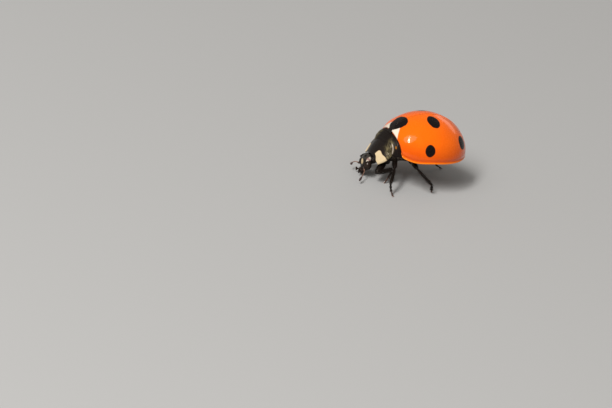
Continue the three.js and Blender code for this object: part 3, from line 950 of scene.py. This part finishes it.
def mouthparts(finish):
    """Upper lip, lower lip in two parts, and on each side a jaw and a lobe."""
    tilt = np.array([[0.95, 0, 0.3], [0, 1, 0], [-0.3, 0, 0.95]])

    def notch(p):
        return -0.03 * bell(p[:, 1], 0, 0.05) * smooth(p[:, 0], 1.45, 1.5)

    shape = Shape()
    shape.ball((1.42, 0, -1.66), tilt * [[0.09], [0.25], [0.09]], 64, 32, push=notch)
    shape.ball((1.26, 0, -1.76), tilt * [[0.13], [0.2], [0.2]], 48, 32)
    shape.ball((1.32, 0, -1.9), tilt * [[0.08], [0.13], [0.07]], 40, 24)
    taper = np.linspace(1, 0.18, 24)
    bulge = 0.4 + 0.6 * np.sin(np.linspace(0.35, 2.9, 16))
    for side in (LEFT, RIGHT):
        jaw = curve_through([(1.3, 0.27 * side, -1.62), (1.42, 0.24 * side, -1.74),
                             (1.48, 0.1 * side, -1.8), (1.48, 0.015 * side, -1.79)], 24)
        shape.tube(jaw, 0.085 * taper, 0.065 * taper, UP, sides=16)
        lobe = curve_through([(1.2, 0.26 * side, -1.7), (1.3, 0.2 * side, -1.86),
                              (1.4, 0.12 * side, -1.93)], 16)
        shape.tube(lobe, 0.07 * bulge, 0.055 * bulge, SIDEWAYS, sides=16)
    build("mouthparts", shape.move(on_head), finish, "black_body", ["mouthparts"])


# ---- Feelers and palps ----

FEELER_PATHS = {
    "left": [on_head((1.42, 0.42, -1.4)), (1.56, 0.83, -1.62), (1.87, 1.25, -1.79),
             (2.2, 1.64, -1.93)],
    "right": [on_head((1.42, -0.42, -1.4)), (1.43, -0.79, -1.64), (1.62, -0.82, -1.7),
              (1.88, -0.56, -1.73)],
}
PALP_PATH = np.array([(1.38, 0.2, -1.72), (1.5, 0.27, -1.74), (1.62, 0.31, -1.76)])

# Length and widest radius of each joint, base first.
FEELER_JOINTS = [(2.6, 0.078), (1.3, 0.056), (1.9, 0.040), (1.3, 0.038), (1.3, 0.038), (1.1, 0.040),
                 (1.1, 0.044), (1.0, 0.052), (1.5, 0.082), (1.4, 0.100), (1.6, 0.086)]
PALP_JOINTS = [(1, 0.05), (1.6, 0.058), (1, 0.06)]


def jointed(shape, path, joints, flat, flare, slim=1.0):
    """A row of joints along a path, each marked with how far along it lies, from 0 to 1."""
    fine = curve_through(path, 400)
    places = np.linspace(0, 1, len(fine))
    lengths = np.array([length for length, _ in joints])
    ends = np.r_[0, np.cumsum(lengths)] / lengths.sum()
    t = np.linspace(0, 1, 13)
    rounded = np.sqrt(1 - np.abs(2 * t - 1) ** 5)
    for k, (_, radius) in enumerate(joints):
        spine = sample(fine, places, lerp(ends[k], ends[k + 1] + 0.006, t))
        wide = radius * (lerp(1 - flare, 1.0, t**0.8)) * (0.35 + 0.65 * rounded)
        shape.tube(spine, wide, wide * slim, flat, sides=18)
        shape.mark((k + 0.5) / len(joints))


def feeler(name, finish):
    shape = Shape()
    jointed(shape, FEELER_PATHS[name], FEELER_JOINTS, np.array([0.3, -0.2, 0.93]), 0.45, slim=0.8)
    build(f"antenna_{name}", shape, finish, "feeler", [f"antenna_{name}"], share=shape.marks)


def palp(side, name, finish):
    """Three short joints and a hatchet-shaped last one."""
    base, bend, end = on_head(PALP_PATH * [1, side, 1])
    shape = Shape()
    jointed(shape, [base, bend, lerp(bend, end, 0.2)], PALP_JOINTS, UP, 0.35)
    blade = curve_through([lerp(bend, end, 0.1), lerp(bend, end, 0.6), lerp(bend, end, 1.4)], 20)
    t = np.linspace(0, 1, 20)
    tip = np.sqrt(np.maximum(1 - np.maximum(t - 0.8, 0) ** 2 / 0.21**2, 0.01))
    wide = lerp(0.05, 0.16, smooth(t, 0, 0.85)) * tip
    shape.tube(blade, wide, 0.5 * wide.clip(0, 0.1), np.array([0.5, 0, 0.87]), sides=28)
    build(f"palp_{name}", shape, finish, "black_body", [f"palp_{name}"])


def feeler_finish():
    """Brown, with a dark base and club."""
    f = Finish("feeler", Roughness=0.38, Coat_Weight=0.15)
    share = f.attribute("share")
    colour = f.mix(f.noise(12.0, 3.0), (0.16, 0.075, 0.045), (0.30, 0.16, 0.11))
    colour = f.mix(share.step(0.62, 0.8), colour, (0.055, 0.028, 0.026))
    f.use(Base_Color=f.mix(share.step(0.14, 0.03), colour, (0.03, 0.017, 0.012)))
    f.bump(f.noise(70.0, 3.0), 0.003)
    return f


# ---- Hairs ----

dice = np.random.default_rng(7)
COAT_CELLS = 6      # the coat's unwrap is this many cells on a side, one for each stretch of skin
TUFT_SIZE = 0.003
THREE_WAYS = (0.0, 2.09, 4.19)      # a hair's three edges, in radians round it


def hairs(shape, roots, ways, length, radius, cell, place_on_skin):
    """Tapered closed hairs; each keeps to a small patch of the unwrap at its root's place."""
    count = len(roots)
    ways = unit(ways)
    one = unit(np.cross(ways, [0.31, 0.52, 0.80]))
    two = np.cross(ways, one)
    length = length * dice.uniform(0.7, 1.25, (count, 1))
    points = []
    for t, slim in ((-0.08, 1.0), (0.4, 0.8), (0.75, 0.5)):
        for angle in THREE_WAYS:
            out = one * math.cos(angle) + two * math.sin(angle)
            points.append(roots + ways * length * t + out * radius * slim)
    points.append(roots + ways * length)
    faces = [[2, 1, 0]]
    for ring in (0, 3):
        for a, b in ((0, 1), (1, 2), (2, 0)):
            faces.append([ring + a, ring + b, ring + b + 3, ring + a + 3])
    faces += [[6, 7, 9], [7, 8, 9], [8, 6, 9]]
    all_faces = [[k * 10 + i for i in face] for k in range(count) for face in faces]
    shape.add(np.stack(points, axis=1), all_faces)

    spread = np.array([(math.cos(angle), math.sin(angle)) for angle in THREE_WAYS * 3] + [(0, 0)])
    spread *= TUFT_SIZE / 2 * np.repeat([1, 0.8, 0.5], [3, 3, 4])[:, None]
    home = np.clip(place_on_skin, 0, 1) * 0.94 + 0.03 + [cell % COAT_CELLS, cell // COAT_CELLS]
    patches = home[:, None] / COAT_CELLS + spread[np.concatenate(faces)]
    shape.uvs.append(patches.reshape(-1, 2))


def hairs_on_bar(shape, path, wide, high, flat, count, length, cell, lean, arc=(0, 2 * math.pi)):
    """Hairs that lean along a bar, from all round it or only from an arc of its section."""
    tangent, across, lift = frames_along(path, flat)
    t = dice.uniform(0.05, 0.97, count)
    angle = dice.uniform(*arc, count)
    places = np.arange(len(path))
    wanted = t * (len(path) - 1)
    start, forward, side, up = (sample(v, places, wanted) for v in (path, tangent, across, lift))
    wide, high = (np.interp(wanted, places, v)[:, None] for v in (wide, high))
    side = side * np.cos(angle)[:, None]
    up = up * np.sin(angle)[:, None]
    ways = side + up + forward * lean + dice.normal(0, 0.12, (count, 3))
    spot = np.stack([t, angle / (2 * math.pi)], axis=1)
    hairs(shape, start + side * wide + up * high, ways, length, 0.0045, cell, spot)


def hairs_on_skin(shape, skin, normal, lowest_up, count, cell, sweep):
    """Hairs swept along the faces that look down, below the height `lowest_up`."""
    rows, columns = np.nonzero((normal[..., 2] < -0.25) & (skin[..., 2] < lowest_up))
    chosen = dice.integers(0, len(rows), count)
    rows, columns = rows[chosen], columns[chosen]
    out = normal[rows, columns]
    roots = skin[rows, columns] + dice.normal(0, 0.012, (count, 3)) * (1 - np.abs(out))
    ways = out + sweep + dice.normal(0, 0.15, (count, 3))
    spot = np.stack([rows / skin.shape[0], columns / skin.shape[1]], axis=1)
    hairs(shape, roots, ways, 0.075, 0.004, cell, spot)


# ---- Legs ----

STOUTNESS = {"front": (1.24, 1.24), "middle": (1.16, 1.0), "hind": (1.12, 1.05)}     # thigh, shin


def bar_profile(t, start, middle, end, bluntness=7):
    """Radius along a bar: swollen toward the middle, both ends rounded."""
    body = lerp(start, end, t) + (middle - 0.5 * (start + end)) * np.sin(math.pi * t)
    return body * (0.3 + 0.7 * np.sqrt(1 - np.abs(2 * t - 1) ** bluntness))


def leg(name, number, joints, leg_look, claw_look, coat):
    pair, side = name.split("_")
    thigh_size, shin_size = STOUTNESS[pair]
    hip = HIPS[pair] * np.array([1, SIDES[side], 1])
    knee, ankle, tip = np.array(joints)
    thigh, shin = unit(knee - hip), unit(ankle - knee)
    plane = unit(np.cross(knee - hip, ankle - knee))
    pieces = {part: Shape() for part in ("coxa", "femur", "tibia", "tarsus")}

    def bar(part, path, wide, high, flat, sides, hair_count, hair_length, stretch, **lie):
        pieces[part].tube(path, wide, high, flat, sides)
        hairs_on_bar(coat, path, wide, high, flat, hair_count, hair_length, number * 4 + stretch, **lie)

    # Hip, then the small joint that carries the thigh.
    inward = unit(np.array([0, -hip[1], 0.25]))
    lift = unit(np.cross(inward, thigh))
    axes = np.array([inward * 0.34, lift * 0.22, np.cross(inward, lift) * 0.25])
    pieces["coxa"].ball(hip, axes, around=48, down=32)
    axes = np.array([thigh * 0.17, plane * 0.11, np.cross(thigh, plane) * 0.13])
    pieces["femur"].ball(hip + thigh * 0.2, axes, around=32, down=20)

    # Thigh: flattened, a little arched.
    t = np.linspace(0, 1, 44)
    path = curve_through([hip + thigh * 0.22, lerp(hip, knee, 0.55) + UP * 0.02, knee], len(t))
    wide = bar_profile(t, 0.1, 0.145, 0.09) * thigh_size
    high = bar_profile(t, 0.13, 0.185, 0.125) * thigh_size
    bar("femur", path, wide, high, plane, 28, 150, 0.065, 0, lean=1.5)

    # Shin: a little bowed, wider at the ankle, with two spurs on the middle and hind legs.
    inside = np.cross(shin, plane)
    pieces["tibia"].ball(knee, np.array([shin * 0.1, plane * 0.075, inside * 0.095]), 28, 18)
    path = curve_through([knee, lerp(knee, ankle, 0.5) + unit(inside) * 0.02, ankle], len(t))
    wide = bar_profile(t, 0.075, 0.095, 0.085) * shin_size
    high = bar_profile(t, 0.095, 0.12, 0.12) * shin_size
    bar("tibia", path, wide, high, plane, 28, 420, 0.085, 1, lean=1.1)
    if pair != "front":
        taper = np.linspace(0.016, 0.003, 10)
        for turned in (-1, 1):
            course = [(-0.03, 0.05), (0.05, 0.075), (0.12, 0.08)]
            spur = curve_through([ankle + shin * s + plane * p * turned for s, p in course], len(taper))
            pieces["tibia"].tube(spur, taper, taper, shin + 0.3, sides=8)

    # Foot: two lobed joints with hairy soles, then the slender one that carries the claws.
    tarsus = pieces["tarsus"]
    drop = tip - ankle
    ahead = unit(drop * [1, 1, 0])
    bend = ankle + drop * 0.55 - UP * 0.03 - ahead * 0.02
    spine = curve_through([ankle - shin * 0.02, bend, tip], 100)
    side_way = frames_along(spine, np.cross(unit(drop), UP))[1]
    u = np.linspace(0, 1, 20)
    lobes = [(0, 36, 0.05, 0.094, 0.62, 0.0), (30, 64, 0.048, 0.108, 0.5, 0.05)]
    for begin, end, narrow, broad, flatness, pale in lobes:
        stretch = curve_through(spine[[begin, (begin + end) // 2, end]], len(u))
        wide = lerp(narrow, broad, smooth(u, 0.1, 0.85))
        wide = wide * np.sqrt(1 - 0.95 * np.maximum(u - 0.85, 0) / 0.15)
        bar("tarsus", stretch, wide, wide * flatness, side_way[begin], 22, 150, 0.05, 2,
            lean=0.7, arc=(math.pi, 2 * math.pi))
        tarsus.mark(pale)
    last = spine[48:]
    reach = np.linspace(0, 1, len(last))
    wide = lerp(0.03, 0.048, reach) * (0.35 + 0.65 * np.sqrt(1 - np.abs(2 * reach - 1) ** 7))
    bar("tarsus", last, wide, wide, side_way[60], 18, 40, 0.05, 3, lean=1.2)
    tarsus.mark(0.5)

    # Two hooked claws, each with a small pad under its base.
    claws = Shape()
    thick = np.linspace(0.022, 0.004, 18)
    for turned in (-1, 1):
        way = unit(ahead + side_way[-1] * 0.75 * turned)
        point = np.r_[(tip + way * 0.135)[:2], FLOOR + 0.008]
        hook = curve_through([tip, tip + way * 0.05 + UP * 0.012, tip + way * 0.11 - UP * 0.005, point],
                             len(thick))
        claws.tube(hook, thick, thick, side_way[-1], sides=10)
        claws.ball(tip + way * 0.045 - UP * 0.018, np.eye(3) * 0.018, 12, 8)
    for part, shape in pieces.items():
        build(f"{part}_{name}", shape, leg_look, "leg", [f"{part}_{name}"], pale=shape.mark(0.0))
    build(f"claws_{name}", claws, claw_look, "leg")


def leg_finish():
    f = Finish("leg", Coat_Weight=0.05, Coat_Roughness=0.2, Specular_IOR_Level=0.09,
               Specular_Tint=WARM_SHEEN)
    colour = f.mix(f.noise(6.0, 4.0), BLACK, BROWN_BLACK)
    pale = f.attribute("pale") * (f.noise(14.0, 3.0) * 0.8 + 0.4)
    f.use(Base_Color=f.mix(pale, colour, FOOT_BROWN))
    shell_skin(f, 0.26)
    return f


# ---- The beetle ----


def beetle():
    case_look, shield_look, body_look = wing_case_finish(), shield_finish(), body_finish()
    eye_look = plain_finish(
        "eye", (0.006, 0.004, 0.003), (0.024, 0.013, 0.008), (5.0, 3.0), (40.0, 2.0, 0.002),
        Coat_Weight=0.25, Coat_Roughness=0.2, Roughness=0.35, Specular_IOR_Level=0.25,
        Specular_Tint=WARM_SHEEN)
    mouth_look = plain_finish(
        "mouthparts", BLACK, MOUTH_BROWN, (8.0, 4.0), (45.0, 3.0, 0.004),
        Coat_Weight=0.08, Roughness=0.36, Specular_IOR_Level=0.15)
    claw_look = plain_finish("claw", (0.10, 0.045, 0.025), (0.28, 0.14, 0.09), (20.0, 2.0),
                             Roughness=0.3, Coat_Weight=0.3)
    leg_hair_look = plain_finish("leg_hair", (0.009, 0.006, 0.005), (0.035, 0.024, 0.017),
                                 (9.0, 2.0), Roughness=0.4)
    belly_hair_look = plain_finish("belly_hair", (0.06, 0.045, 0.03), (0.2, 0.16, 0.11),
                                   (9.0, 2.0), Roughness=0.4)
    feeler_look, leg_look = feeler_finish(), leg_finish()

    for name, side in SIDES.items():
        wing_case(side, name, case_look)
    scutellum(shield_look)
    pronotum(shield_look)
    thorax_skin = thorax(body_look)
    abdomen_skin = abdomen(body_look)
    prothorax(body_look)
    head(head_finish())
    mouthparts(mouth_look)
    for name, side in SIDES.items():
        eye(side, name, eye_look)
        feeler(name, feeler_look)
        palp(side, name, mouth_look)

    leg_coat, belly_coat = Shape(), Shape()
    for number, (name, joints) in enumerate(LEGS.items()):
        leg(name, number, joints, leg_look, claw_look, leg_coat)
    build("leg_hairs", leg_coat, leg_hair_look, "leg")
    hairs_on_skin(belly_coat, *abdomen_skin, -0.05, 3200, 0, np.array([-1.7, 0, 0]))
    hairs_on_skin(belly_coat, *thorax_skin, -0.2, 1500, 1, np.array([-1.5, 0, 0]))
    build("belly_hairs", belly_coat, belly_hair_look, "black_body")


# ---- Floor, light and camera ----

FLOOR_HALF_SIZE = 2.0       # metres
FLOOR_GREY = (0.46, 0.46, 0.455)
DAYLIGHT = (1.0, 0.985, 0.95)
LIT_POINT = (-2.2, 0, 0.3)
LIGHT_DISTANCE = 0.45       # metres

CAMERA_AZIMUTH = math.radians(60.45)    # from the head's side toward the beetle's left
CAMERA_ELEVATION = math.radians(20.68)
CAMERA_ROLL = math.radians(14.49)
CAMERA_DISTANCE = 446.3
LENS = 400.0
AIM = (4.46, -0.47, -4.74)              # the view's middle is below and ahead of the beetle


def floor():
    mesh = bpy.data.meshes.new("floor")
    a = FLOOR_HALF_SIZE
    mesh.from_pydata([(-a, -a, 0), (a, -a, 0), (a, a, 0), (-a, a, 0)], [], [(0, 1, 2, 3)])
    mesh.materials.append(Finish("floor", Roughness=0.7, Base_Color=FLOOR_GREY).material)
    show("floor", mesh)


def area_light(name, toward, size, watts, colour, spin=0.0):
    """A soft light in the direction `toward` of the beetle's frame, aimed at the beetle."""
    data = bpy.data.lights.new(name, "AREA")
    data.shape = "ELLIPSE"
    data.size, data.size_y = size
    data.energy = watts
    data.color = colour
    lamp = show(name, data)
    way = Vector(turn(unit(toward)))
    lamp.location = Vector(place(LIT_POINT)) + way * LIGHT_DISTANCE
    lamp.rotation_mode = "QUATERNION"
    lamp.rotation_quaternion = way.to_track_quat("Z", "Y") @ Quaternion((0, 0, 1), math.radians(spin))


def camera():
    data = bpy.data.cameras.new("camera")
    data.lens = LENS
    data.clip_start = 0.005
    data.clip_end = 10.0
    piece = show("camera", data)
    level = math.cos(CAMERA_ELEVATION)
    back = Vector((math.sin(CAMERA_AZIMUTH) * level, -math.cos(CAMERA_AZIMUTH) * level,
                   math.sin(CAMERA_ELEVATION)))
    piece.location = Vector(place(AIM)) + back * CAMERA_DISTANCE * MM
    piece.rotation_mode = "QUATERNION"
    piece.rotation_quaternion = back.to_track_quat("Z", "Y") @ Quaternion((0, 0, 1), CAMERA_ROLL)
    bpy.context.scene.camera = piece


def world():
    made = bpy.data.worlds.new("studio")
    made.use_nodes = True
    background = made.node_tree.nodes["Background"]
    background.inputs["Color"].default_value = (*DAYLIGHT, 1)
    background.inputs["Strength"].default_value = 0.24
    bpy.context.scene.world = made


beetle()
floor()
world()
area_light("sun", (0.62, 0.38, 0.69), (0.08, 0.30), 1.75, (1.0, 0.98, 0.96), spin=28.0)
area_light("sky", (0.60, 0.32, 0.73), (0.34, 0.34), 0.68, (1.0, 0.99, 0.97))
area_light("behind", (-0.72, -0.56, 0.42), (0.28, 0.12), 0.10, (1.0, 0.8, 0.68))
camera()
bpy.context.scene.view_settings.view_transform = "Standard"
